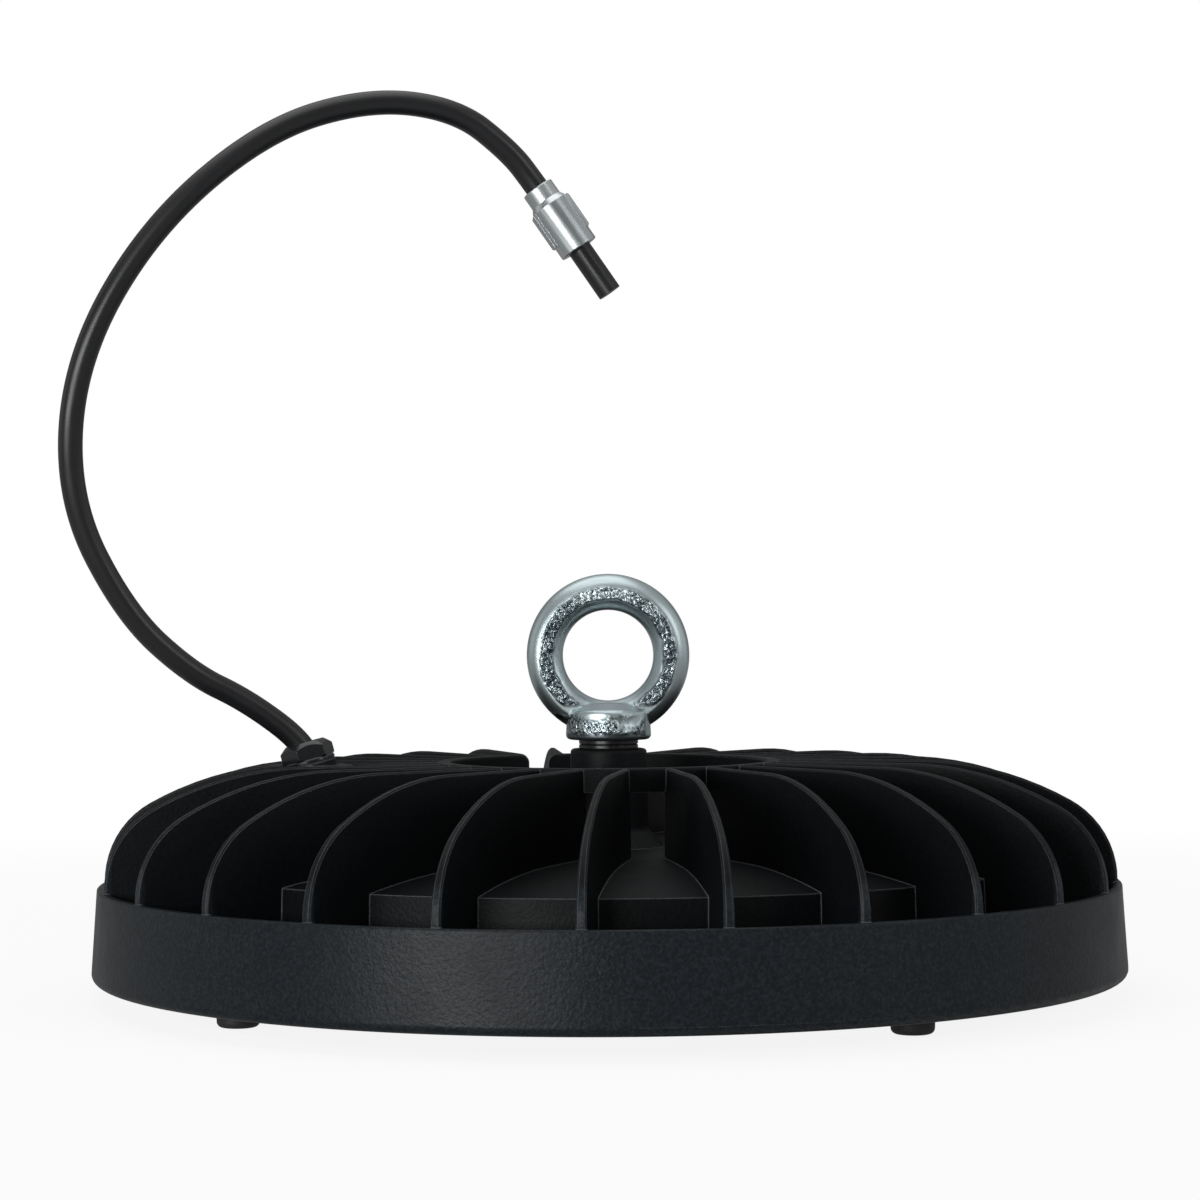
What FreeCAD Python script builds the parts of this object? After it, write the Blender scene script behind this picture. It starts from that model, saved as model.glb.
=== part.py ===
import FreeCAD, Part
import math
import os

V = FreeCAD.Vector
Z = V(0, 0, 1)

# ---------------------------------------------------------------- dimensions (mm)
# levels, measured up from the underside of the feet
FOOT_H = 7.2            # feet below the lens ring
LIP_T = 2.2             # lens ring under the lens
LENS_T = 2.0
LENS_GASKET_T = 0.6
FLANGE_T = 4.0
PLATE_LIFT = 1.0        # base plate above the flange
PLATE_T = 4.0
BOARD_T = 1.6
RIM_Z0 = 6.7            # lower edge of the skirt
RIM_Z1 = 36.5           # upper edge of the skirt
CROWN_Z = 76.1          # flat top of the fins
CUP_EDGE_Z = 42.8       # shoulder of the cup
CUP_TOP_Z = 47.6        # flat floor of the centre well
LENS_Z0 = FOOT_H + LIP_T
LENS_Z1 = LENS_Z0 + LENS_T
FLANGE_Z0 = LENS_Z1 + LENS_GASKET_T
FLANGE_Z1 = FLANGE_Z0 + FLANGE_T
PLATE_Z0 = FLANGE_Z1 + PLATE_LIFT
PLATE_Z1 = PLATE_Z0 + PLATE_T
BOARD_Z1 = PLATE_Z0
BOARD_Z0 = BOARD_Z1 - BOARD_T

# housing cup under the fins
CUP_R_TOP = 140.0
CUP_DRAFT = 1.2
CUP_WALL = 3.5
CUP_FALL = 55.0         # width of the sloping shoulder
SKIN = 4.0              # thickness of the floor
FLANGE_W = 12.0
CUP_R_LOW = CUP_R_TOP + CUP_DRAFT
CAVITY_R = CUP_R_TOP - CUP_WALL
CUP_CROWN_R = CUP_R_TOP - CUP_FALL
FLANGE_R = CUP_R_TOP + FLANGE_W

# skirt round the flange, carried by the fins
SKIRT_GAP = 13.0        # open way between flange and skirt
RIM_WALL = 3.0
RIM_DRAFT = 2.0
RIM_ROUND = 2.6
RIM_IN = FLANGE_R + SKIRT_GAP
RIM_R1 = RIM_IN + RIM_WALL
RIM_R0 = RIM_R1 + RIM_DRAFT

# ring that joins the inner ends of the fins, with one notch
RING_R0, RING_WALL = 52.4, 4.4
RING_H = 7.6
NOTCH_X, NOTCH_W, NOTCH_H, NOTCH_ROUND = -24.15, 6.6, 10.0, 3.0
RING_R1 = RING_R0 + RING_WALL
RING_MID = RING_R0 + RING_WALL / 2
RING_Z0 = CROWN_Z - RING_H

# fins
FIN_COUNT = 25
FIN_STEP = 360.0 / FIN_COUNT
FIN_PHASE = -7.03       # first fin, degrees from the front
FIN_CREEP = 4.3         # the pattern runs ahead by this many degrees at the back
FIN_OFFSET = 12.0       # fins pass this far from the axis
FIN_HALF_LOW, FIN_HALF_TOP = 1.95, 1.0
FIN_ARC1, FIN_ARC1_UP, FIN_ARC1_DEG = 29.4, 0.9, 60.9
FIN_EDGE = 0.55
FIN_ROOT = 2.2          # how deep the fins run into the cup and the skirt
FIN_Z0 = FLANGE_Z0 + 0.6
FIN_ARC1_Z = RIM_Z1 + FIN_ARC1_UP
FIN_OUT = math.sqrt((RIM_IN + RIM_WALL / 2 + 0.2) ** 2 - FIN_OFFSET ** 2)
FIN_IN = math.sqrt(RING_MID ** 2 - FIN_OFFSET ** 2)

# hub and eye bolt
HUB_R, HUB_DRAFT = 12.6, 0.5
HUB_Z1 = 80.1
HUB_FLARE = 5.0
SPACER_R, SPACER_H = 9.8, 3.0
BOLT_R = 6.0
BOLT_LEN = 20.5
COLLAR_R_LOW, COLLAR_R_TOP = 14.2, 13.7
COLLAR_H = 9.7
EYE_R_OUT, EYE_R_IN = 27.0, 15.0
EYE_HALF_T = 5.6
HUB_R_LOW = HUB_R + HUB_DRAFT
COLLAR_Z0 = HUB_Z1 + SPACER_H
EYE_Z = COLLAR_Z0 + EYE_R_OUT + 0.9

# lead and gland, on an axis that leans outwards
LEAD_D = 7.8
GLAND_AT = V(-97.3, -18.2, 76.2)
GLAND_TILT = 15.0
PAD_R, PAD_Z0, PAD_Z1 = 14.4, 72.6, 75.9
GLAND_BORE_R = LEAD_D / 2 + 0.5
SEAL_R = LEAD_D / 2 + 1.3
MOUTH_R = LEAD_D / 2 + 1.6
GLAND_SHANK_R = SEAL_R + 0.8
GLAND_SHANK_LEN = 10.0
GLAND_FLANGE_R = GLAND_SHANK_R + 2.4
GLAND_AF = 15.2
SEAT_R, SPOT_R = GLAND_FLANGE_R + 0.2, GLAND_FLANGE_R + 0.9
TURRET_R = GLAND_FLANGE_R + 2.0
GASKET_T = 0.6
GLAND_FLANGE = GASKET_T + 1.2
STUB_TOP = GLAND_FLANGE + 2.6
NUT_TOP = STUB_TOP + 3.0
SEAL_LOW, SEAL_TOP = -3.2, STUB_TOP - 1.8

# lead: points of its route, each bend is an arc between two runs
LEAD_ROUTE = [(-128.5, -24.0, 100.9), (-155.3, -34.3, 124.5),
              (-171.8, -44.6, 162.0), (-169.2, -50.0, 205.0), (-148.4, -49.4, 243.6),
              (-114.5, -43.0, 276.2), (-71.6, -30.5, 292.6), (-35.8, -19.2, 283.2),
              (1.2, -18.2, 229.4)]
LEAD_INSIDE = 20.0      # length of lead below the gland seat
LEAD_FIRST = 15.0       # first corner above the gland seat
SLEEVE_FROM_END = 41.4
SLEEVE_LEN = 24.0
SLEEVE_R0 = LEAD_D / 2 + 1.45
SLEEVE_R1 = SLEEVE_R0 + 1.2
SLEEVE_RIB = SLEEVE_R1 + 0.55

# underside
LENS_RIM = 6.8          # lens ring outside the lens
LENS_R = FLANGE_R - LENS_RIM
LIP_R = CAVITY_R - 0.5
PLATE_R = CAVITY_R
BOARD_R = PLATE_R - 10.5
LED_RINGS = ((38.0, 8), (74.0, 16), (110.0, 24))
LED_SIDE, LED_H = 5.0, 0.6
DOME_R, DOME_H = 8.0, 1.9
FOOT_R, FOOT_DEG = 6.8, 38.3
FOOT_AT = (LIP_R + FLANGE_R) / 2
FOOT_PEG_R = 2.5
M3, M4 = 1.5, 2.0       # screw shank radii
HEAD3, HEAD4 = 2.7, 3.6
RING_SCREW_AT, RING_SCREWS = FLANGE_R - 3.4, 12
RING_SCREW_SUNK = 2.0
PLATE_SCREW_AT, PLATE_SCREWS = PLATE_R - 5.3, 8
POST_R = 5.0
BOARD_SCREW_AT, BOARD_SCREWS = 92.0, 6

# driver
DRIVER_L, DRIVER_W, DRIVER_H = 112.0, 62.0, 17.0
DRIVER_X = 14.0
DRIVER_WALL = 2.0
DRIVER_TAB = 9.0
TERMINAL_AT = (-70.0, -33.0)
TERMINAL_L, TERMINAL_W, TERMINAL_H = 26.0, 14.0, 14.0
TERMINAL_WAYS, TERMINAL_STEP = 3, 8.5
TERMINAL_BORE_R = 2.3


# ---------------------------------------------------------------- helpers
def polar(r, deg, z=0.0):
    """Point at radius r; 0 degrees is the front (-Y), positive towards +X."""
    a = math.radians(deg)
    return V(r * math.sin(a), -r * math.cos(a), z)


def rounded(points):
    """Closed wire in XZ from (x, z) or (x, z, corner radius)."""
    n = len(points)
    edges, cuts = [], []
    for i in range(n):
        p = V(points[i][0], 0, points[i][1])
        r = points[i][2] if len(points[i]) > 2 else 0.0
        a = V(points[i - 1][0], 0, points[i - 1][1]).sub(p)
        b = V(points[(i + 1) % n][0], 0, points[(i + 1) % n][1]).sub(p)
        a.normalize()
        b.normalize()
        if r <= 0:
            cuts.append((p, p, None))
            continue
        half = a.getAngle(b) / 2
        t = r / math.tan(half)
        mid = a.add(b)
        mid.normalize()
        centre = p.add(mid.multiply(r / math.sin(half)))
        top = p.sub(centre)
        top.normalize()
        cuts.append((p.add(a.multiply(t)), p.add(b.multiply(t)), centre.add(top.multiply(r))))
    for i in range(n):
        s, e, m = cuts[i]
        if m is not None:
            edges.append(Part.Arc(s, m, e).toShape())
        nxt = cuts[(i + 1) % n][0]
        if e.distanceToPoint(nxt) > 1e-6:
            edges.append(Part.makeLine(e, nxt))
    return Part.Wire(edges)


def lathe(points):
    return Part.Face(rounded(points)).revolve(V(0, 0, 0), Z, 360)


def cyl(r, z0, z1, x=0.0, y=0.0):
    return Part.makeCylinder(r, z1 - z0, V(x, y, z0))


def box(x0, x1, y0, y1, z0, z1):
    return Part.makeBox(x1 - x0, y1 - y0, z1 - z0, V(x0, y0, z0))


def hexagon(af, z0, z1, turn=0.0):
    r = af / math.sqrt(3)
    pts = [V(r * math.cos(math.radians(60 * i + turn)), r * math.sin(math.radians(60 * i + turn)), z0)
           for i in range(6)]
    return Part.Face(Part.makePolygon(pts + [pts[0]])).extrude(V(0, 0, z1 - z0))


def tilt(shape):
    """From an upright build about the Z axis to the gland's leaning axis."""
    s = shape.copy()
    s.rotate(V(0, 0, 0), V(0, 1, 0), -GLAND_TILT)
    s.translate(GLAND_AT)
    return s


def along(shape, base, direction):
    """From an upright build about the Z axis to a given axis."""
    s = shape.copy()
    s.Placement = FreeCAD.Placement(base, FreeCAD.Rotation(Z, direction)).multiply(s.Placement)
    return s


def fuse(shapes):
    first = shapes[0]
    return first.multiFuse(shapes[1:]).removeSplitter()


def cut(shape, tools):
    return shape.cut(Part.makeCompound(tools)) if tools else shape


def pan_screw(r_head, head_h, r_shank, length, slot_af):
    """Head below z = 0, shank above it; hexagon socket in the head."""
    head = lathe([(0, -head_h), (0.78 * r_head, -head_h), (r_head, -0.5 * head_h), (r_head, 0), (0, 0)])
    shank = cyl(r_shank, 0, length)
    return head.fuse(shank).cut(hexagon(slot_af, -head_h - 1, -head_h * 0.45)).removeSplitter()


def place(shape, r, deg, z):
    s = shape.copy()
    s.rotate(V(0, 0, 0), Z, deg)
    s.translate(polar(r, deg, z))
    return s


def single(shape):
    return shape.Solids[0] if len(shape.Solids) == 1 else shape


# ---------------------------------------------------------------- housing casting
def fin_blank():
    """One fin on the plane x = FIN_OFFSET, running out towards -Y."""
    a1 = math.radians(FIN_ARC1_DEG)
    s1, z1 = FIN_OUT - FIN_ARC1, FIN_ARC1_Z
    r2 = (CROWN_Z - z1 - FIN_ARC1 * math.sin(a1)) / (1 - math.sin(a1))
    s2, z2 = s1 - (r2 - FIN_ARC1) * math.cos(a1), z1 - (r2 - FIN_ARC1) * math.sin(a1)

    def at(s, z):
        return V(0, -s, z)

    def arc(sc, zc, r, d0, d1):
        p = [at(sc + r * math.cos(math.radians(d)), zc + r * math.sin(math.radians(d)))
             for d in (d0, (d0 + d1) / 2, d1)]
        return Part.Arc(*p).toShape()

    low = [at(FIN_IN, CROWN_Z), at(FIN_IN, CUP_TOP_Z - FIN_ROOT),
           at(CUP_CROWN_R + 1, CUP_TOP_Z - FIN_ROOT), at(CUP_R_TOP - 2.4, CUP_EDGE_Z - 1.4),
           at(CUP_R_TOP - 1.6, CUP_EDGE_Z - 4), at(CUP_R_TOP - 1.6, FIN_Z0),
           at(FIN_OUT, FIN_Z0), at(FIN_OUT, z1)]
    edges = [Part.makeLine(low[i], low[i + 1]) for i in range(len(low) - 1)]
    edges += [arc(s1, z1, FIN_ARC1, 0, FIN_ARC1_DEG), arc(s2, z2, r2, FIN_ARC1_DEG, 90),
              Part.makeLine(at(s2, CROWN_Z), at(FIN_IN, CROWN_Z))]
    blank = Part.Face(Part.Wire(edges)).extrude(V(6, 0, 0))
    blank.translate(V(-3, 0, 0))
    side = [V(-FIN_HALF_LOW, 0, FIN_Z0 - 1), V(FIN_HALF_LOW, 0, FIN_Z0 - 1),
            V(FIN_HALF_TOP, 0, CROWN_Z + 1), V(-FIN_HALF_TOP, 0, CROWN_Z + 1)]
    taper = Part.Face(Part.makePolygon(side + [side[0]])).extrude(V(0, -200, 0))
    fin = blank.common(taper)
    crown = []
    for e in fin.Edges:
        m = e.CenterOfMass
        lies_along = abs(e.Vertexes[0].X) > 0.5 and e.Vertexes[0].X * e.Vertexes[-1].X > 0
        if m.z > RIM_Z1 + 2 and -m.y > FIN_IN + 1 and abs(m.x) > 0.5 and lies_along:
            if m.z > 0.5 * (CUP_TOP_Z + CROWN_Z) or -m.y > CUP_R_TOP + 10:
                crown.append(e)
    fin = fin.makeChamfer(FIN_EDGE, crown)
    fin.translate(V(FIN_OFFSET, 0, 0))
    return fin


def notch():
    """Straight slot through the back of the ring, its upper corners rounded."""
    w, r = NOTCH_W / 2, NOTCH_ROUND
    k = r * math.sqrt(0.5)
    z0, z1, y = CROWN_Z - NOTCH_H, CROWN_Z - r, RING_MID - 16

    def at(x, z):
        return V(NOTCH_X + x, y, z)

    right = [at(w, z1), at(w + r - k, z1 + k), at(w + r, CROWN_Z)]
    left = [at(-w - r, CROWN_Z), at(-w - r + k, z1 + k), at(-w, z1)]
    edges = [Part.makeLine(at(-w, z0), at(w, z0)), Part.makeLine(at(w, z0), right[0]),
             Part.Arc(*right).toShape(), Part.makeLine(right[2], at(w + r, CROWN_Z + 1)),
             Part.makeLine(at(w + r, CROWN_Z + 1), at(-w - r, CROWN_Z + 1)),
             Part.makeLine(at(-w - r, CROWN_Z + 1), left[0]), Part.Arc(*left).toShape(),
             Part.makeLine(left[2], at(-w, z0))]
    return Part.Face(Part.Wire(edges)).extrude(V(0, RING_WALL + 19, 0))


def housing():
    rim = lathe([(RIM_IN + 0.4, RIM_Z0), (RIM_R0, RIM_Z0, RIM_ROUND), (RIM_R1, RIM_Z1, 0.6),
                 (RIM_IN, RIM_Z1, 0.6)])
    fall = CUP_TOP_Z - CUP_EDGE_Z
    crown_r = ((CUP_R_TOP - CUP_CROWN_R) ** 2 + fall ** 2) / (2 * fall)
    mid = CUP_CROWN_R + 0.55 * (CUP_R_TOP - CUP_CROWN_R)
    mid_z = CUP_TOP_Z - crown_r + math.sqrt(crown_r ** 2 - (mid - CUP_CROWN_R) ** 2)
    outer = [V(0, 0, FLANGE_Z0), V(FLANGE_R, 0, FLANGE_Z0), V(FLANGE_R, 0, FLANGE_Z1),
             V(CUP_R_LOW, 0, FLANGE_Z1), V(CUP_R_TOP, 0, CUP_EDGE_Z)]
    edges = [Part.makeLine(outer[i], outer[i + 1]) for i in range(4)]
    edges += [Part.Arc(outer[4], V(mid, 0, mid_z), V(CUP_CROWN_R, 0, CUP_TOP_Z)).toShape(),
              Part.makeLine(V(CUP_CROWN_R, 0, CUP_TOP_Z), V(0, 0, CUP_TOP_Z)),
              Part.makeLine(V(0, 0, CUP_TOP_Z), outer[0])]
    cup = Part.Face(Part.Wire(edges)).revolve(V(0, 0, 0), Z, 360)
    hub = lathe([(0, CUP_TOP_Z - 2), (HUB_R_LOW + HUB_FLARE, CUP_TOP_Z - 2),
                 (HUB_R_LOW + HUB_FLARE, CUP_TOP_Z + 0.6), (HUB_R_LOW, CUP_TOP_Z + 0.9 + HUB_FLARE, 3.0),
                 (HUB_R, HUB_Z1, 1.2), (0, HUB_Z1)])
    ring = lathe([(RING_R0, RING_Z0), (RING_R1, RING_Z0), (RING_R1, CROWN_Z, 0.7), (RING_R0, CROWN_Z, 0.7)])
    turret = tilt(cyl(TURRET_R, -34, -2)).common(cyl(60, CUP_TOP_Z - 2, PAD_Z1 - 0.5, GLAND_AT.x, GLAND_AT.y))
    pad = Part.Face(rounded([(0, PAD_Z0), (PAD_R, PAD_Z0), (PAD_R, PAD_Z1, 1.2), (0, PAD_Z1)]))
    pad = pad.revolve(V(0, 0, 0), Z, 360)
    pad.translate(V(GLAND_AT.x, GLAND_AT.y, 0))
    seat = tilt(cyl(SEAT_R, -9, 0)).common(cyl(60, PAD_Z0 + 0.4, 90, GLAND_AT.x, GLAND_AT.y))
    fin = fin_blank()
    fins = []
    for i in range(FIN_COUNT):
        deg = FIN_PHASE + i * FIN_STEP
        ahead = FIN_CREEP * ((1 - math.cos(math.radians(deg))) / 2) ** 3
        f = fin.copy()
        f.rotate(V(0, 0, 0), Z, deg + ahead)
        fins.append(f)
    body = fuse([cup, rim, hub, ring, turret, pad, seat] + fins)
    body = body.cut(notch())

    cavity = Part.Face(Part.makePolygon([
        V(0, 0, FLANGE_Z0 - 1), V(CAVITY_R, 0, FLANGE_Z0 - 1), V(CAVITY_R, 0, CUP_EDGE_Z - SKIN - 0.6),
        V(CUP_CROWN_R, 0, CUP_TOP_Z - SKIN), V(0, 0, CUP_TOP_Z - SKIN), V(0, 0, FLANGE_Z0 - 1)]))
    cavity = cavity.revolve(V(0, 0, 0), Z, 360)
    posts = []
    for i in range(PLATE_SCREWS):
        c = polar(PLATE_SCREW_AT, 360.0 / PLATE_SCREWS * i + 11)
        posts.append(cyl(POST_R, PLATE_Z1, CUP_TOP_Z, c.x, c.y))
    cavity = cut(cavity, posts)
    body = body.cut(cavity)

    tools = [cyl(BOLT_R, COLLAR_Z0 - BOLT_LEN - 2, HUB_Z1 + 1), tilt(cyl(SPOT_R, 0, 20)),
             tilt(cyl(GLAND_SHANK_R, -GLAND_SHANK_LEN, 5)), tilt(cyl(5.0, -60, 1))]
    for i in range(PLATE_SCREWS):
        c = polar(PLATE_SCREW_AT, 360.0 / PLATE_SCREWS * i + 11)
        tools.append(cyl(M4, PLATE_Z0, PLATE_Z1 + 9, c.x, c.y))
    for i in range(RING_SCREWS):
        c = polar(RING_SCREW_AT, FOOT_DEG + 15 + 30 * i)
        tools.append(cyl(M3, FLANGE_Z0 - 1, FLANGE_Z1 + 1, c.x, c.y))
    body = cut(body, tools)
    return single(body.removeSplitter())


# ---------------------------------------------------------------- lifting eye
def eye_bolt():
    z0 = COLLAR_Z0
    collar = lathe([(0, z0), (COLLAR_R_LOW, z0, 1.6), (COLLAR_R_TOP, z0 + COLLAR_H, 1.9),
                    (7.5, z0 + COLLAR_H + 2.4, 2.0), (0, z0 + COLLAR_H + 2.6)])
    shank = cyl(BOLT_R, z0 - BOLT_LEN, z0 + 2)
    eye = Part.makeTorus((EYE_R_OUT + EYE_R_IN) / 2, (EYE_R_OUT - EYE_R_IN) / 2, V(0, 0, EYE_Z), V(0, 1, 0))
    eye = eye.common(box(-40, 40, -EYE_HALF_T, EYE_HALF_T, EYE_Z - 40, EYE_Z + 40))
    through = Part.makeCylinder(EYE_R_IN, 60, V(0, -30, EYE_Z), V(0, 1, 0))
    return single(fuse([collar.cut(through), shank, eye]))


def hub_spacer():
    z0, z1 = HUB_Z1, COLLAR_Z0
    return lathe([(BOLT_R, z0), (SPACER_R, z0, 0.3), (SPACER_R, z0 + 1.2), (SPACER_R - 0.5, z0 + 1.45),
                  (SPACER_R, z0 + 1.7), (SPACER_R, z1, 0.3), (BOLT_R, z1)])


# ---------------------------------------------------------------- gland and lead
def gland_gasket():
    return tilt(cyl(GLAND_FLANGE_R - 0.2, 0, GASKET_T).cut(cyl(GLAND_SHANK_R, -1, 2)))


def gland_body():
    r = GLAND_FLANGE_R
    flange = lathe([(0, GASKET_T), (r, GASKET_T), (r, GLAND_FLANGE - 0.4), (r - 0.4, GLAND_FLANGE),
                    (0, GLAND_FLANGE)])
    body = fuse([flange, cyl(GLAND_SHANK_R, -GLAND_SHANK_LEN, STUB_TOP)])
    return tilt(single(body.cut(cyl(GLAND_BORE_R, -20, 10)).cut(cyl(SEAL_R, SEAL_LOW, 10))))


def gland_seal():
    return tilt(cyl(SEAL_R, SEAL_LOW, SEAL_TOP).cut(cyl(LEAD_D / 2, -5, 10)))


def gland_nut():
    r = GLAND_AF / math.sqrt(3)
    dome = lathe([(0, GLAND_FLANGE), (r - 0.4, GLAND_FLANGE), (r, GLAND_FLANGE + 0.4), (r, NUT_TOP - 2.2),
                  (r - 1.75, NUT_TOP - 0.6, 1.0), (r - 2.55, NUT_TOP), (0, NUT_TOP)])
    nut = hexagon(GLAND_AF, GLAND_FLANGE, NUT_TOP, 14).common(dome)
    nut = nut.cut(cyl(GLAND_SHANK_R, 0, STUB_TOP)).cut(cyl(MOUTH_R, 0, 12))
    return tilt(single(nut.removeSplitter()))


def lead_points():
    axis = V(-math.sin(math.radians(GLAND_TILT)), 0, math.cos(math.radians(GLAND_TILT)))
    first = [GLAND_AT.sub(V(axis).multiply(LEAD_INSIDE)), GLAND_AT.add(V(axis).multiply(LEAD_FIRST))]
    return first + [V(*p) for p in LEAD_ROUTE]


def lead_path(points):
    edges, here, radii = [], points[0], []
    for i in range(1, len(points) - 1):
        a, b = points[i - 1].sub(points[i]), points[i + 1].sub(points[i])
        la, lb = a.Length, b.Length
        a.normalize()
        b.normalize()
        turn = math.pi - a.getAngle(b)
        t = 0.45 * min(la, lb)
        r = t / math.tan(turn / 2)
        radii.append(r)
        mid = a.add(b)
        mid.normalize()
        middle = points[i].add(mid.multiply(r / math.cos(turn / 2) - r))
        s, e = points[i].add(V(a).multiply(t)), points[i].add(V(b).multiply(t))
        if here.distanceToPoint(s) > 1e-6:
            edges.append(Part.makeLine(here, s))
        edges.append(Part.Arc(s, middle, e).toShape())
        here = e
    edges.append(Part.makeLine(here, points[-1]))
    return Part.Wire(edges), radii


def supply_lead():
    points = lead_points()
    path, radii = lead_path(points)
    d = points[1].sub(points[0])
    circle = Part.Wire(Part.makeCircle(LEAD_D / 2, points[0], d))
    tube = path.makePipeShell([circle], True, False)
    expected = math.pi * (LEAD_D / 2) ** 2 * path.Length
    print("lead length %.1f radii %s volume ratio %.4f" % (
        path.Length, [round(r, 1) for r in radii], tube.Volume / expected))
    return single(tube)


def lead_sleeve():
    points = lead_points()
    d = points[-1].sub(points[-2])
    d.normalize()
    base = points[-1].sub(V(d).multiply(SLEEVE_FROM_END))
    body = lathe([(0, 0), (SLEEVE_R0, 0, 0.4), (SLEEVE_R0, 5.1, 0.6), (SLEEVE_R1, 7.0, 0.5),
                  (SLEEVE_R1, SLEEVE_LEN, 0.4), (0, SLEEVE_LEN)])
    ribs = Part.makeBox(2 * SLEEVE_RIB, 7.0, 12.6, V(-SLEEVE_RIB, -3.5, 7.0))
    ribs = ribs.makeChamfer(0.5, [e for e in ribs.Edges if abs(abs(e.CenterOfMass.x) - SLEEVE_RIB) < 0.01])
    sleeve = fuse([body, ribs]).cut(cyl(LEAD_D / 2, -1, SLEEVE_LEN + 1))
    sleeve.rotate(V(0, 0, 0), Z, 180)
    return single(along(sleeve, base, d))


# ---------------------------------------------------------------- underside
def led_places():
    for r, n in LED_RINGS:
        for i in range(n):
            yield r, 360.0 / n * i + 360.0 / n / 2


def lens_cover():
    plate = cyl(LENS_R, LENS_Z0, LENS_Z1)
    ball = (DOME_R ** 2 + DOME_H ** 2) / (2 * DOME_H)
    dome = Part.makeSphere(ball).common(Part.makeBox(40, 40, DOME_H + 0.5, V(-20, -20, -ball)))
    dome.translate(V(0, 0, LENS_Z0 + ball - DOME_H))
    domes = [place(dome, r, a, 0) for r, a in led_places()]
    return single(fuse([plate] + domes))


def lens_gasket():
    return cyl(LENS_R - 0.6, LENS_Z1, FLANGE_Z0).cut(cyl(CAVITY_R + 2.5, LENS_Z1 - 1, FLANGE_Z0 + 1))


def lens_ring():
    ring = lathe([(LIP_R, FOOT_H, 0.8), (FLANGE_R, FOOT_H, 1.4), (FLANGE_R, FLANGE_Z0), (LENS_R, FLANGE_Z0),
                  (LENS_R, LENS_Z0), (LIP_R, LENS_Z0)])
    tools = []
    for i in range(4):
        c = polar(FOOT_AT, FOOT_DEG + 90 * i)
        tools.append(cyl(FOOT_PEG_R, FOOT_H - 1, LENS_Z0, c.x, c.y))
    for i in range(RING_SCREWS):
        c = polar(RING_SCREW_AT, FOOT_DEG + 15 + 30 * i)
        tools += [cyl(M3, FOOT_H - 1, FLANGE_Z0 + 1, c.x, c.y),
                  cyl(HEAD3 + 0.2, FOOT_H - 1, FOOT_H + RING_SCREW_SUNK, c.x, c.y)]
    return single(cut(ring, tools))


def lens_ring_screws():
    screw = pan_screw(HEAD3, 1.6, M3, FLANGE_Z1 - FOOT_H - RING_SCREW_SUNK, 1.7)
    return Part.makeCompound([place(screw, RING_SCREW_AT, FOOT_DEG + 15 + 30 * i, FOOT_H + RING_SCREW_SUNK)
                              for i in range(RING_SCREWS)])


def feet():
    foot = lathe([(0, 0), (FOOT_R - 0.3, 0, 1.8), (FOOT_R, FOOT_H), (FOOT_PEG_R, FOOT_H),
                  (FOOT_PEG_R, LENS_Z0), (0, LENS_Z0)])
    return Part.makeCompound([place(foot, FOOT_AT, FOOT_DEG + 90 * i, 0) for i in range(4)])


def base_plate():
    tools = []
    for i in range(PLATE_SCREWS):
        c = polar(PLATE_SCREW_AT, 360.0 / PLATE_SCREWS * i + 11)
        tools.append(cyl(M4, PLATE_Z0 - 1, PLATE_Z1 + 1, c.x, c.y))
    for i in range(BOARD_SCREWS):
        c = polar(BOARD_SCREW_AT, 60 * i + 15)
        tools.append(cyl(M3, PLATE_Z0 - 1, PLATE_Z1 - 1, c.x, c.y))
    for x, y in driver_holes():
        tools.append(cyl(M4, PLATE_Z0 + 0.8, PLATE_Z1 + 1, x, y))
    return single(cut(cyl(PLATE_R, PLATE_Z0, PLATE_Z1), tools))


def base_plate_screws():
    screw = pan_screw(HEAD4, 2.4, M4, PLATE_T + 7, 2.5)
    return Part.makeCompound([place(screw, PLATE_SCREW_AT, 360.0 / PLATE_SCREWS * i + 11, PLATE_Z0)
                              for i in range(PLATE_SCREWS)])


def led_board():
    tools = []
    for i in range(BOARD_SCREWS):
        c = polar(BOARD_SCREW_AT, 60 * i + 15)
        tools.append(cyl(M3, BOARD_Z0 - 1, BOARD_Z1 + 1, c.x, c.y))
    return single(cut(cyl(BOARD_R, BOARD_Z0, BOARD_Z1), tools))


def led_board_screws():
    screw = pan_screw(HEAD3, 1.7, M3, BOARD_T + 2.6, 1.7)
    return Part.makeCompound([place(screw, BOARD_SCREW_AT, 60 * i + 15, BOARD_Z0)
                              for i in range(BOARD_SCREWS)])


def led_packages():
    h = LED_SIDE / 2
    led = box(-h, h, -h, h, BOARD_Z0 - LED_H, BOARD_Z0)
    return Part.makeCompound([place(led, r, a, 0) for r, a in led_places()])


# ---------------------------------------------------------------- driver compartment
def driver_holes():
    x = DRIVER_L / 2 + DRIVER_TAB / 2
    y = DRIVER_W / 2 - 11
    return [(DRIVER_X + sx * x, sy * y) for sx in (-1, 1) for sy in (-1, 1)]


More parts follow.
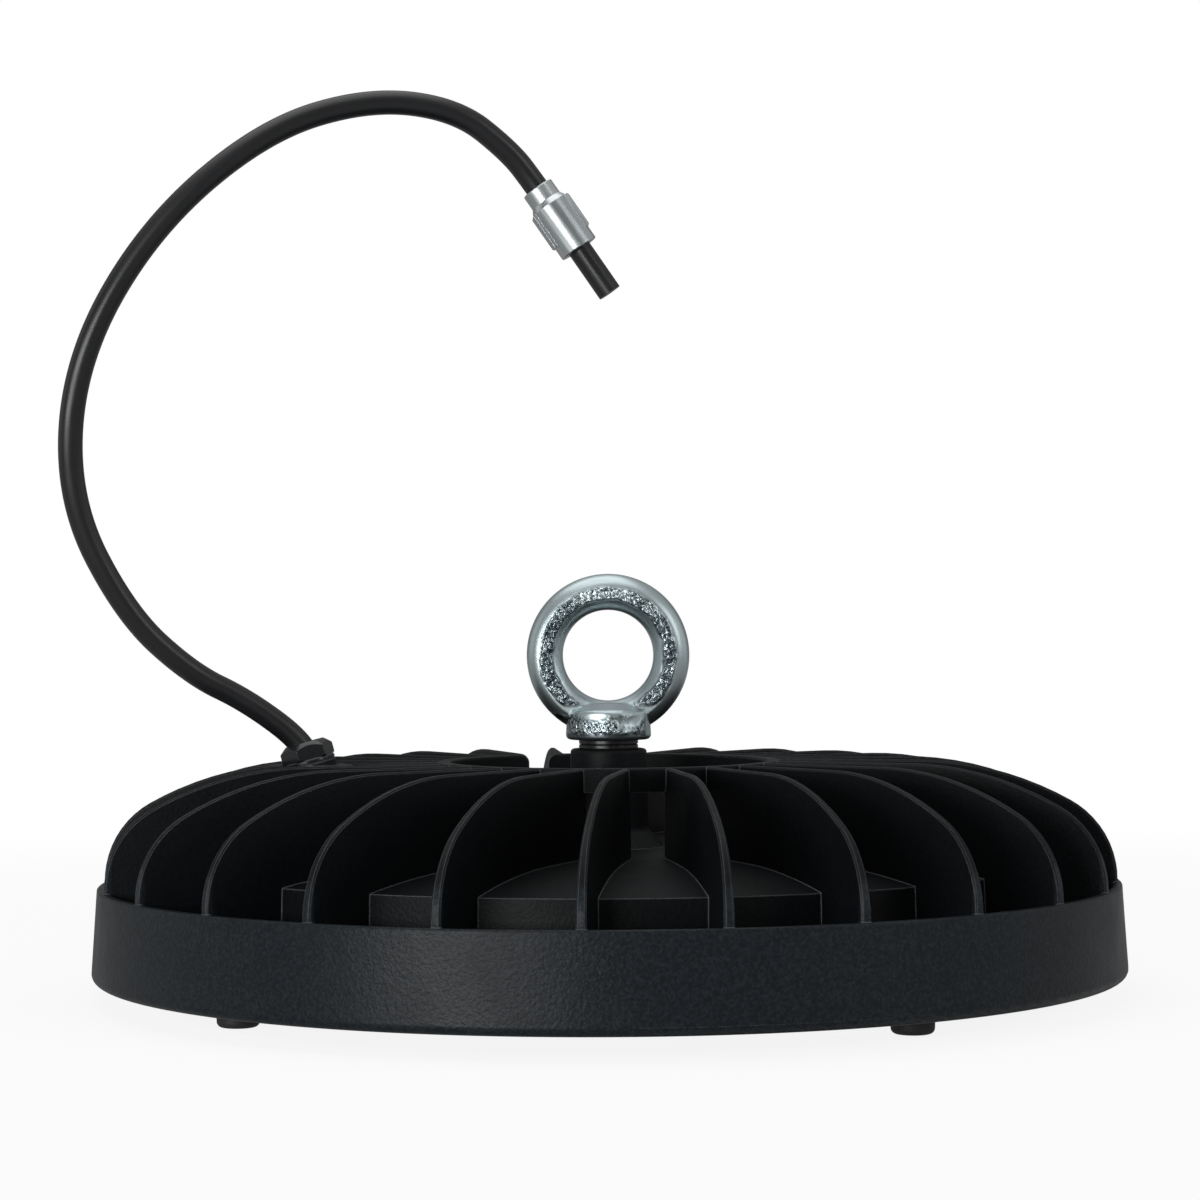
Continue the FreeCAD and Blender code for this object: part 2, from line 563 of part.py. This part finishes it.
def driver_case():
    x0, x1 = DRIVER_X - DRIVER_L / 2, DRIVER_X + DRIVER_L / 2
    w = DRIVER_W / 2
    body = box(x0, x1, -w, w, PLATE_Z1, PLATE_Z1 + DRIVER_H)
    upright = [e for e in body.Edges if abs(e.CenterOfMass.z - PLATE_Z1 - DRIVER_H / 2) < 0.1]
    body = body.makeChamfer(2.0, upright)
    t = DRIVER_WALL
    inside = box(x0 + t, x1 - t, -w + t, w - t, PLATE_Z1 + t, PLATE_Z1 + DRIVER_H + 1)
    tabs = box(x0 - DRIVER_TAB, x1 + DRIVER_TAB, -w + 4, w - 4, PLATE_Z1, PLATE_Z1 + t)
    holes = [cyl(M4, PLATE_Z1 - 1, PLATE_Z1 + t + 1, x, y) for x, y in driver_holes()]
    return single(cut(fuse([body, tabs]).cut(inside), holes))


def driver_potting():
    x0, x1 = DRIVER_X - DRIVER_L / 2 + DRIVER_WALL, DRIVER_X + DRIVER_L / 2 - DRIVER_WALL
    w = DRIVER_W / 2 - DRIVER_WALL
    return box(x0, x1, -w, w, PLATE_Z1 + DRIVER_WALL, PLATE_Z1 + DRIVER_H - 1.5)


def driver_cover():
    x0, x1 = DRIVER_X - DRIVER_L / 2, DRIVER_X + DRIVER_L / 2
    w = DRIVER_W / 2
    top = box(x0, x1, -w, w, PLATE_Z1 + DRIVER_H, PLATE_Z1 + DRIVER_H + 1.2)
    upright = [e for e in top.Edges if abs(e.CenterOfMass.z - PLATE_Z1 - DRIVER_H - 0.6) < 0.1]
    return top.makeChamfer(2.0, upright)


def driver_screws():
    screw = pan_screw(HEAD4 - 0.2, 2.2, M4, DRIVER_WALL + PLATE_T - 1, 2.5)
    screw.rotate(V(0, 0, 0), V(1, 0, 0), 180)
    out = []
    for x, y in driver_holes():
        s = screw.copy()
        s.translate(V(x, y, PLATE_Z1 + DRIVER_WALL))
        out.append(s)
    return Part.makeCompound(out)


def terminal_ways():
    x, y = TERMINAL_AT
    return [(x + TERMINAL_STEP * (i - (TERMINAL_WAYS - 1) / 2), y) for i in range(TERMINAL_WAYS)]


def terminal_block():
    x, y = TERMINAL_AT
    l, w, top = TERMINAL_L / 2, TERMINAL_W / 2, PLATE_Z1 + TERMINAL_H
    block = box(x - l, x + l, y - w, y + w, PLATE_Z1, top)
    return single(cut(block, [cyl(TERMINAL_BORE_R, top - 8, top + 1, a, b) for a, b in terminal_ways()]))


def terminal_screws():
    r, z = TERMINAL_BORE_R, PLATE_Z1 + TERMINAL_H - 8
    out = []
    for a, b in terminal_ways():
        screw = cyl(r, z, z + 5, a, b)
        out.append(screw.cut(box(a - r - 1, a + r + 1, b - 0.4, b + 0.4, z + 3.8, z + 6)))
    return Part.makeCompound(out)


NODES = {
    "heatsink_housing": housing, "eye_bolt": eye_bolt, "hub_spacer": hub_spacer,
    "gland_gasket": gland_gasket, "gland_body": gland_body, "gland_seal": gland_seal, "gland_nut": gland_nut,
    "supply_lead": supply_lead, "lead_sleeve": lead_sleeve,
    "lens_cover": lens_cover, "lens_gasket": lens_gasket, "lens_ring": lens_ring,
    "lens_ring_screws": lens_ring_screws, "feet": feet,
    "base_plate": base_plate, "base_plate_screws": base_plate_screws,
    "led_board": led_board, "led_board_screws": led_board_screws, "led_packages": led_packages,
    "driver_case": driver_case, "driver_potting": driver_potting, "driver_cover": driver_cover,
    "driver_screws": driver_screws, "terminal_block": terminal_block, "terminal_screws": terminal_screws,
}

os.makedirs("parts", exist_ok=True)
for name, make in NODES.items():
    shape = make()
    if not shape.isValid():
        print("NOT VALID", name)
    print(name, "solids", len(shape.Solids), "volume %.0f" % shape.Volume)
    shape.exportStep("parts/" + name + ".step")
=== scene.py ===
import bpy
import math
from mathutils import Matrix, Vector


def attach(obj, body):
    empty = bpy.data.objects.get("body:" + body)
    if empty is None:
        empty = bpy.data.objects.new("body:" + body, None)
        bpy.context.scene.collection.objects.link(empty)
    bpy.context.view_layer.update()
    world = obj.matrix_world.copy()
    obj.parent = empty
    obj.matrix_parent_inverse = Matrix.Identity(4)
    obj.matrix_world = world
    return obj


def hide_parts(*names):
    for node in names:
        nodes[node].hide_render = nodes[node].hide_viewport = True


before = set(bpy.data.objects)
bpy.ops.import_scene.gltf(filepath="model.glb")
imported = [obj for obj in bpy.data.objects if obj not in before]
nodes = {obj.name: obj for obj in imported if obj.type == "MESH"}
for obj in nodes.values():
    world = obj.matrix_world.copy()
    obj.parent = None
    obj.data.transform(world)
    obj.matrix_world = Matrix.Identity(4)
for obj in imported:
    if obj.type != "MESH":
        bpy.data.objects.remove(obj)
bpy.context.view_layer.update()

# ---------------------------------------------------------------- sizes (metres)
EYE_Z = 0.111
EYE_BAND_R = 0.0204                   # middle of the rough forged band on each face of the eye
EYE_BAND_HALF = (0.0016, 0.0026)      # its half width, where it starts and ends fading out
EYE_BAND_WOBBLE = 0.0022
EYE_FLAT_Y = (0.0044, 0.0052)         # the band shows only on the faces, this far off the middle plane
EYE_LOW_Z = (0.0935, 0.096)           # and fades out above the collar
COLLAR_Z0, COLLAR_Z1 = 0.0831, 0.0928
SKIRT_IN = 0.1642                     # outside this radius the housing is skirt; inside it the coat is painted darker as shade between the fins
LEAD_D = 0.0078
LEAD_ROUTE = [
    (-0.0921, -0.0182, 0.0569), (-0.0961, -0.0182, 0.0718), (-0.0991, -0.0182, 0.0830),
    (-0.1175, -0.0215, 0.0972), (-0.1347, -0.0265, 0.1059), (-0.1547, -0.0343, 0.1253),
    (-0.1717, -0.0446, 0.1618), (-0.1682, -0.0500, 0.2056), (-0.1443, -0.0494, 0.2476),
    (-0.1090, -0.0430, 0.2790), (-0.0760, -0.0346, 0.2905), (-0.0480, -0.0275, 0.2880),
    (-0.0310, -0.0218, 0.2750), (-0.0233, -0.0189, 0.2651), (-0.0135, -0.0186, 0.2508),
    (0.0012, -0.0182, 0.2294),
]
SLEEVE_RUN = (-0.0358, -0.0192, 0.2832)    # on the sleeve's axis: it runs from here to the lead's end

# colours that meet in one finish (linear)
COAT_OUTER = (0.0070, 0.0096, 0.0122), (0.0150, 0.0188, 0.0226)    # pits and tops of the skirt's grain
# darker copy of the grain colours inside the skirt: painted shade between the fins
COAT_INNER_SHADE = (0.0026, 0.0034, 0.0042), (0.0040, 0.0050, 0.0060)
# light grey painted highlight laid along the coat's edges
COAT_EDGE_HIGHLIGHT = (0.165, 0.182, 0.195)
# the second zinc colour is painted shade in the pits of the forged band and collar
ZINC, ZINC_PIT_SHADE = (0.50, 0.585, 0.605), (0.06, 0.08, 0.09)
SLEEVE_DARK, SLEEVE_LIGHT = (0.52, 0.565, 0.58), (0.66, 0.70, 0.71)

# camera and studio
LENS = 94.0
CAMERA_AT = (-0.0026, -1.04, 0.1243)
CAMERA_ROLL = 0.0056
FRAME_SHIFT = 0.0126
FLOOR_R, FLOOR_SIDES, FLOOR_DROP = 6.0, 64, 0.0003
FLOOR_NEAR, FLOOR_FAR = 0.35, 0.9    # the floor's own white grows over this distance
FLOOR_WHITE = 0.88                   # its share near the lamp, the rest takes the shadow
FLOOR_GLOSS = 0.30                   # how bright reflections see it
TENT_R, TENT_H, TENT_SIDES = 3.0, 2.4, 96
SIDE_TURN, SIDE_HALF, SIDE_SOFT = 1.70, 0.20, 0.3    # panels of the tent, in radians from the front
SIDE_LEVEL, DIM, REAR, ROOF = 0.45, 0.17, 0.22, 0.40
REAR_TURN = (2.0, 2.6)
WORLD_LIGHT, WORLD_SEEN = 0.4, 1.0


# ---------------------------------------------------------------- material helpers
def material(name, colour, rough, metallic=0.0, specular=0.5):
    m = bpy.data.materials.new(name)
    m.use_nodes = True
    tree = m.node_tree
    shader = tree.nodes["Principled BSDF"]
    shader.inputs["Base Color"].default_value = (*colour, 1)
    shader.inputs["Roughness"].default_value = rough
    shader.inputs["Metallic"].default_value = metallic
    shader.inputs["Specular IOR Level"].default_value = specular
    return m, tree, shader


def place_of(tree, stretch=(1, 1, 1)):
    coord = tree.nodes.new("ShaderNodeTexCoord")
    mapping = tree.nodes.new("ShaderNodeMapping")
    mapping.inputs["Scale"].default_value = stretch
    tree.links.new(coord.outputs["Object"], mapping.inputs["Vector"])
    return mapping.outputs["Vector"]


def noise(tree, place, size, detail=2.0, rough=0.5, warp=0.0):
    n = tree.nodes.new("ShaderNodeTexNoise")
    n.inputs["Scale"].default_value = 1.0 / size
    n.inputs["Detail"].default_value = detail
    n.inputs["Roughness"].default_value = rough
    n.inputs["Distortion"].default_value = warp
    tree.links.new(place, n.inputs["Vector"])
    return n.outputs["Fac"]


def cells(tree, place, size, feature="F1"):
    n = tree.nodes.new("ShaderNodeTexVoronoi")
    n.feature = feature
    n.inputs["Scale"].default_value = 1.0 / size
    tree.links.new(place, n.inputs["Vector"])
    return n.outputs["Distance"]


def fit(tree, value, a, b, lo, hi, smooth=False):
    n = tree.nodes.new("ShaderNodeMapRange")
    n.interpolation_type = "SMOOTHSTEP" if smooth else "LINEAR"
    for key, v in (("From Min", a), ("From Max", b), ("To Min", lo), ("To Max", hi)):
        n.inputs[key].default_value = v
    tree.links.new(value, n.inputs["Value"])
    return n.outputs["Result"]


def maths(tree, how, a, b=None):
    n = tree.nodes.new("ShaderNodeMath")
    n.operation = how
    for socket, v in zip(n.inputs, (a, b)):
        if v is None:
            continue
        if isinstance(v, (int, float)):
            socket.default_value = v
        else:
            tree.links.new(v, socket)
    return n.outputs["Value"]


def blend(tree, factor, a, b):
    n = tree.nodes.new("ShaderNodeMix")
    n.data_type = "RGBA"
    tree.links.new(factor, n.inputs["Factor"])
    for key, v in ((6, a), (7, b)):
        if isinstance(v, tuple):
            n.inputs[key].default_value = (*v, 1)
        else:
            tree.links.new(v, n.inputs[key])
    return n.outputs[2]


def axes(tree, place):
    n = tree.nodes.new("ShaderNodeSeparateXYZ")
    tree.links.new(place, n.inputs[0])
    return n.outputs


def reach(tree, a, b):
    """Distance from the axis, for two offsets a and b from it."""
    return maths(tree, "SQRT", maths(tree, "ADD", maths(tree, "MULTIPLY", a, a), maths(tree, "MULTIPLY", b, b)))


def relief(tree, shader, height, depth, strength=1.0, under=None):
    """Put the height on the shader as a bump, over the rounded normal where one is given."""
    n = tree.nodes.new("ShaderNodeBump")
    n.inputs["Strength"].default_value = strength
    n.inputs["Distance"].default_value = depth
    tree.links.new(height, n.inputs["Height"])
    if under is not None:
        tree.links.new(under, n.inputs["Normal"])
    tree.links.new(n.outputs["Normal"], shader.inputs["Normal"])


def soft_edges(tree, radius):
    n = tree.nodes.new("ShaderNodeBevel")
    n.samples = 4
    n.inputs["Radius"].default_value = radius
    return n.outputs["Normal"]


def edge_of(tree, bevel):
    """How far the rounded normal turns from the flat one: near 0 on a face, more at its edges."""
    n = tree.nodes.new("ShaderNodeVectorMath")
    n.operation = "DOT_PRODUCT"
    tree.links.new(bevel, n.inputs[0])
    tree.links.new(tree.nodes.new("ShaderNodeNewGeometry").outputs["Normal"], n.inputs[1])
    return maths(tree, "SUBTRACT", 1.0, n.outputs["Value"])


def dress(finish, *names):
    for name in names:
        slots = nodes[name].data.materials
        slots.clear()
        slots.append(finish)


# ---------------------------------------------------------------- finishes
def powder_coat():
    """Grained black coat: smoother and greyer outside the skirt, darker inside it as painted shade between the
    fins, with a painted highlight along the edges.
    """
    m, t, s = material("powder_coat", (0.012, 0.0155, 0.019), 0.40, specular=0.14)
    place = place_of(t)
    x, y, _ = axes(t, place)
    skirt = fit(t, reach(t, x, y), SKIRT_IN, SKIRT_IN + 0.001, 0.0, 1.0)
    grain = noise(t, place, 0.0012, 1.5, 0.5, 0.5)
    fine = cells(t, place, 0.0009, "SMOOTH_F1")
    height = maths(t, "ADD", grain, maths(t, "MULTIPLY", fine, 0.5))
    worn = fit(t, height, 0.45, 0.85, 1.0, 0.0)
    # inside the skirt the coat takes the darker colours: painted shade between the fins
    body = blend(t, skirt, blend(t, worn, *COAT_INNER_SHADE), blend(t, worn, *COAT_OUTER))
    bevel = soft_edges(t, 0.0007)
    # painted highlight: lighter colour where the rounded normal turns away at the edges
    edge_highlight = fit(t, edge_of(t, bevel), 0.06, 0.20, 0.0, 0.9, True)
    t.links.new(blend(t, edge_highlight, body, COAT_EDGE_HIGHLIGHT), s.inputs["Base Color"])
    cloud = fit(t, noise(t, place, 0.02, 2.0), 0.3, 0.7, -0.04, 0.04)
    rough = maths(t, "ADD", cloud, fit(t, skirt, 0.0, 1.0, 0.50, 0.36))
    t.links.new(rough, s.inputs["Roughness"])
    relief(t, s, height, 0.00009, 1.0, bevel)
    return m


def zinc():
    """Bright zinc on a forging: smooth, with a rough band round each face of the eye and on the collar,
    darkened in its pits as painted shade.
    """
    m, t, s = material("zinc_steel", ZINC, 0.28, metallic=1.0)
    place = place_of(t)
    x, y, z = axes(t, place)
    radius = reach(t, x, maths(t, "SUBTRACT", z, EYE_Z))
    off = maths(t, "ABSOLUTE", maths(t, "SUBTRACT", radius, EYE_BAND_R))
    drift = maths(t, "SUBTRACT", noise(t, place, 0.005, 2.0), 0.5)
    off = maths(t, "ADD", off, maths(t, "MULTIPLY", drift, EYE_BAND_WOBBLE))
    band = fit(t, off, *EYE_BAND_HALF, 1.0, 0.0, True)
    flat = fit(t, maths(t, "ABSOLUTE", y), *EYE_FLAT_Y, 0.0, 1.0, True)
    above = fit(t, z, *EYE_LOW_Z, 0.0, 1.0, True)
    eye = maths(t, "MULTIPLY", maths(t, "MULTIPLY", band, flat), above)
    low = fit(t, z, COLLAR_Z1 - 0.002, COLLAR_Z1, 1.0, 0.0, True)
    high = fit(t, z, COLLAR_Z0 + 0.0012, COLLAR_Z0 + 0.003, 0.0, 1.0, True)
    patch = fit(t, noise(t, place, 0.011, 1.0), 0.44, 0.56, 0.0, 1.0, True)
    collar = maths(t, "MULTIPLY", maths(t, "MULTIPLY", low, high), patch)
    forged = maths(t, "MAXIMUM", eye, collar)
    pits = noise(t, place, 0.0017, 3.0, 0.6, 1.6)
    dents = fit(t, cells(t, place, 0.0018, "SMOOTH_F1"), 0.1, 0.7, 0.0, 1.0)
    rough_height = maths(t, "ADD", pits, maths(t, "MULTIPLY", dents, 0.6))
    swell = maths(t, "MULTIPLY", noise(t, place, 0.007, 1.0), 0.2)
    height = maths(t, "ADD", maths(t, "MULTIPLY", rough_height, forged), swell)
    # painted shade: the forged pits turn darker, on more of them at the eye's left and right than at its top
    # and bottom
    pit_shade_reach = fit(t, maths(t, "ABSOLUTE", x), 0.004, 0.018, 0.47, 0.56)
    pit_shade = fit(t, maths(t, "SUBTRACT", pit_shade_reach, pits), -0.03, 0.06, 0.0, 1.0, True)
    t.links.new(blend(t, maths(t, "MULTIPLY", pit_shade, forged), ZINC, ZINC_PIT_SHADE), s.inputs["Base Color"])
    t.links.new(fit(t, forged, 0.0, 1.0, 0.36, 0.25), s.inputs["Roughness"])
    relief(t, s, height, 0.00045, 0.9, soft_edges(t, 0.0008))
    return m


def sleeve_metal():
    """Turned aluminium with fine streaks along the sleeve."""
    m, t, s = material("sleeve_metal", (0.60, 0.645, 0.655), 0.34, metallic=1.0)
    run = Vector(LEAD_ROUTE[-1]) - Vector(SLEEVE_RUN)
    coord = t.nodes.new("ShaderNodeTexCoord")
    upright = t.nodes.new("ShaderNodeMapping")
    upright.inputs["Rotation"].default_value = (0, math.atan2(run.x, -run.z), 0)
    drawn = t.nodes.new("ShaderNodeMapping")
    drawn.inputs["Scale"].default_value = (1, 1, 0.03)
    t.links.new(coord.outputs["Object"], upright.inputs["Vector"])
    t.links.new(upright.outputs["Vector"], drawn.inputs["Vector"])
    streak = noise(t, drawn.outputs["Vector"], 0.0012, 2.0, 0.5)
    t.links.new(fit(t, streak, 0.3, 0.7, 0.28, 0.42), s.inputs["Roughness"])
    tone = blend(t, fit(t, streak, 0.35, 0.65, 0.0, 1.0), SLEEVE_DARK, SLEEVE_LIGHT)
    t.links.new(tone, s.inputs["Base Color"])
    relief(t, s, streak, 0.00004, 0.4, soft_edges(t, 0.0003))
    return m


def plain(name, colour, rough, size, depth, metallic=0.0, spread=0.08):
    """One colour with a fine grain of the given size and depth."""
    m, t, s = material(name, colour, rough, metallic)
    grain = noise(t, place_of(t), size, 3.0, 0.6)
    t.links.new(fit(t, grain, 0.3, 0.7, rough - spread, rough + spread), s.inputs["Roughness"])
    darker = tuple(0.85 * c for c in colour)
    lighter = tuple(min(1.0, 1.12 * c) for c in colour)
    t.links.new(blend(t, fit(t, grain, 0.35, 0.65, 0.0, 1.0), darker, lighter), s.inputs["Base Color"])
    relief(t, s, grain, depth, 0.5, soft_edges(t, 0.0003))
    return m


def clear_lens():
    m, t, s = material("clear_lens", (0.95, 0.97, 0.98), 0.04)
    s.inputs["Transmission Weight"].default_value = 1.0
    s.inputs["IOR"].default_value = 1.2
    haze = noise(t, place_of(t), 0.004, 2.0)
    t.links.new(fit(t, haze, 0.3, 0.7, 0.03, 0.07), s.inputs["Roughness"])
    return m


dress(powder_coat(), "heatsink_housing", "lens_ring")
dress(zinc(), "eye_bolt")
dress(sleeve_metal(), "lead_sleeve")
dress(plain("black_plastic", (0.009, 0.009, 0.010), 0.33, 0.0012, 0.00003), "hub_spacer", "driver_cover")
dress(plain("gland_plastic", (0.007, 0.009, 0.011), 0.22, 0.0015, 0.00003, spread=0.04),
      "gland_body", "gland_nut")
dress(plain("black_rubber", (0.016, 0.016, 0.017), 0.6, 0.0009, 0.00005),
      "gland_gasket", "gland_seal", "lens_gasket", "feet")
dress(clear_lens(), "lens_cover")
dress(plain("screw_steel", (0.5, 0.51, 0.52), 0.3, 0.0008, 0.00002, metallic=1.0),
      "lens_ring_screws", "base_plate_screws", "led_board_screws", "driver_screws")
dress(plain("bare_aluminium", (0.68, 0.69, 0.70), 0.38, 0.0015, 0.00002, metallic=1.0),
      "base_plate", "driver_case")
dress(plain("board_white", (0.80, 0.81, 0.80), 0.4, 0.003, 0.00001), "led_board")
dress(plain("led_phosphor", (0.82, 0.66, 0.16), 0.25, 0.001, 0.00002), "led_packages")
dress(plain("potting", (0.03, 0.03, 0.035), 0.5, 0.004, 0.0001), "driver_potting")
dress(plain("terminal_white", (0.72, 0.72, 0.69), 0.45, 0.002, 0.00002), "terminal_block")
dress(plain("brass_screw", (0.70, 0.52, 0.24), 0.3, 0.0008, 0.00002, metallic=1.0), "terminal_screws")


# ---------------------------------------------------------------- lead
def cable_rubber():
    m, t, s = material("cable_rubber", (0.0075, 0.0079, 0.0092), 0.33)
    place = place_of(t)
    cloud = noise(t, place, 0.012, 1.0)
    t.links.new(fit(t, cloud, 0.3, 0.7, 0.30, 0.37), s.inputs["Roughness"])
    relief(t, s, noise(t, place, 0.0008, 3.0, 0.6), 0.00004, 0.4)
    return m


def lead():
    """Smooth curve with LEAD_ROUTE as its control points, from inside the gland to the cut end."""
    curve = bpy.data.curves.new("lead", "CURVE")
    curve.dimensions = "3D"
    curve.resolution_u = 24
    curve.bevel_depth = LEAD_D / 2
    curve.bevel_resolution = 10
    curve.use_fill_caps = True
    spline = curve.splines.new("NURBS")
    spline.points.add(len(LEAD_ROUTE) - 1)
    for p, at in zip(spline.points, LEAD_ROUTE):
        p.co = (*at, 1)
    spline.use_endpoint_u = True
    spline.order_u = 3
    o = bpy.data.objects.new("lead", curve)
    bpy.context.scene.collection.objects.link(o)
    curve.materials.append(cable_rubber())
    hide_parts("supply_lead")
    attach(o, "root")


lead()


# ---------------------------------------------------------------- studio
def seen(tree):
    """1 for the camera, reflections and what shines through, which see the white studio, and 0 for light."""
    path = tree.nodes.new("ShaderNodeLightPath")
    rays = maths(tree, "ADD", path.outputs["Is Camera Ray"], path.outputs["Is Glossy Ray"])
    return maths(tree, "MINIMUM", maths(tree, "ADD", rays, path.outputs["Is Transmission Ray"]), 1.0)


def stage_piece(name, points, faces):
    """A mesh of the studio with an empty material of its own, and that material's node tree."""
    mesh = bpy.data.meshes.new(name)
    mesh.from_pydata(points, [], faces)
    o = bpy.data.objects.new(name, mesh)
    bpy.context.scene.collection.objects.link(o)
    m = bpy.data.materials.new(name)
    m.use_nodes = True
    m.node_tree.nodes.remove(m.node_tree.nodes["Principled BSDF"])
    mesh.materials.append(m)
    return o, m.node_tree


def floor():
    """Pale floor: matt where the shadow falls, white further off, clear from below."""
    turns = [2 * math.pi * i / FLOOR_SIDES for i in range(FLOOR_SIDES)]
    ring = [(FLOOR_R * math.cos(a), FLOOR_R * math.sin(a), 0) for a in turns]
    o, t = stage_piece("studio_floor", ring, [tuple(range(FLOOR_SIDES))])
    o.location = (0, 0, -FLOOR_DROP)
    matt = t.nodes.new("ShaderNodeBsdfDiffuse")
    matt.inputs["Color"].default_value = (0.86, 0.86, 0.86, 1)
    glow = t.nodes.new("ShaderNodeEmission")
    mix = t.nodes.new("ShaderNodeMixShader")
    length = t.nodes.new("ShaderNodeVectorMath")
    length.operation = "LENGTH"
    t.links.new(place_of(t), length.inputs[0])
    far = fit(t, length.outputs["Value"], FLOOR_NEAR, FLOOR_FAR, FLOOR_WHITE, 1.0, True)
    t.links.new(maths(t, "MULTIPLY", far, seen(t)), mix.inputs[0])
    t.links.new(matt.outputs[0], mix.inputs[1])
    gloss = t.nodes.new("ShaderNodeLightPath").outputs["Is Glossy Ray"]
    t.links.new(fit(t, gloss, 0.0, 1.0, 1.0, FLOOR_GLOSS), glow.inputs["Strength"])
    t.links.new(glow.outputs[0], mix.inputs[2])
    clear = t.nodes.new("ShaderNodeBsdfTransparent")
    side = t.nodes.new("ShaderNodeNewGeometry")
    both = t.nodes.new("ShaderNodeMixShader")
    t.links.new(side.outputs["Backfacing"], both.inputs[0])
    t.links.new(mix.outputs[0], both.inputs[1])
    t.links.new(clear.outputs[0], both.inputs[2])
    t.links.new(both.outputs[0], t.nodes["Material Output"].inputs["Surface"])


def tent():
    """Round wall and roof that only reflections see: dim front, two side panels, grey rear and roof."""
    n = TENT_SIDES
    turns = [2 * math.pi * i / n for i in range(n)]
    ring = [(TENT_R * math.sin(a), -TENT_R * math.cos(a), h) for h in (0, TENT_H) for a in turns]
    wall = [(i, (i + 1) % n, n + (i + 1) % n, n + i) for i in range(n)]
    o, t = stage_piece("studio_tent", ring, wall + [tuple(range(n, 2 * n))])
    glow = t.nodes.new("ShaderNodeEmission")
    x, y, z = axes(t, place_of(t))
    turn = maths(t, "ABSOLUTE", maths(t, "ARCTAN2", x, maths(t, "MULTIPLY", y, -1.0)))
    off = maths(t, "ABSOLUTE", maths(t, "SUBTRACT", turn, SIDE_TURN))
    side = fit(t, off, SIDE_HALF, SIDE_HALF + SIDE_SOFT, SIDE_LEVEL, 0.0, True)
    walls = maths(t, "ADD", side, fit(t, turn, *REAR_TURN, DIM, REAR, True))
    lit = t.nodes.new("ShaderNodeMix")
    t.links.new(fit(t, z, TENT_H - 0.6, TENT_H - 0.01, 0.0, 1.0, True), lit.inputs["Factor"])
    t.links.new(walls, lit.inputs[2])
    lit.inputs[3].default_value = ROOF
    t.links.new(lit.outputs[0], glow.inputs["Strength"])
    t.links.new(glow.outputs[0], t.nodes["Material Output"].inputs["Surface"])
    o.visible_camera = False
    o.visible_diffuse = False
    o.visible_shadow = False
    o.visible_transmission = False


def softbox(name, at, size, power, aim=(0, 0, 0.05)):
    light = bpy.data.lights.new(name, "AREA")
    light.shape = "RECTANGLE"
    light.size, light.size_y = size
    light.energy = power
    o = bpy.data.objects.new(name, light)
    bpy.context.scene.collection.objects.link(o)
    o.location = at
    o.rotation_euler = (Vector(aim) - Vector(at)).to_track_quat("-Z", "Y").to_euler()
    o.visible_camera = False


def studio():
    world = bpy.data.worlds.new("studio")
    bpy.context.scene.world = world
    world.use_nodes = True
    t = world.node_tree
    sky = t.nodes["Background"]
    sky.inputs["Color"].default_value = (1, 1, 1, 1)
    t.links.new(fit(t, seen(t), 0.0, 1.0, WORLD_LIGHT, WORLD_SEEN), sky.inputs["Strength"])
    floor()
    tent()
    softbox("top_box", (-0.15, -0.05, 1.35), (1.5, 1.2), 7.0)
    softbox("key_box", (-0.90, -1.55, 0.24), (1.1, 0.40), 15.5)
    softbox("right_box", (1.35, -0.85, 0.7), (0.6, 0.9), 3.5)


def camera():
    data = bpy.data.cameras.new("camera")
    data.lens = LENS
    data.sensor_width = 36.0
    data.shift_y = FRAME_SHIFT
    o = bpy.data.objects.new("camera", data)
    bpy.context.scene.collection.objects.link(o)
    o.location = CAMERA_AT
    o.rotation_euler = (math.pi / 2, CAMERA_ROLL, 0)
    bpy.context.scene.camera = o


studio()
camera()
bpy.context.scene.view_settings.view_transform = "Standard"

bpy.context.view_layer.update()
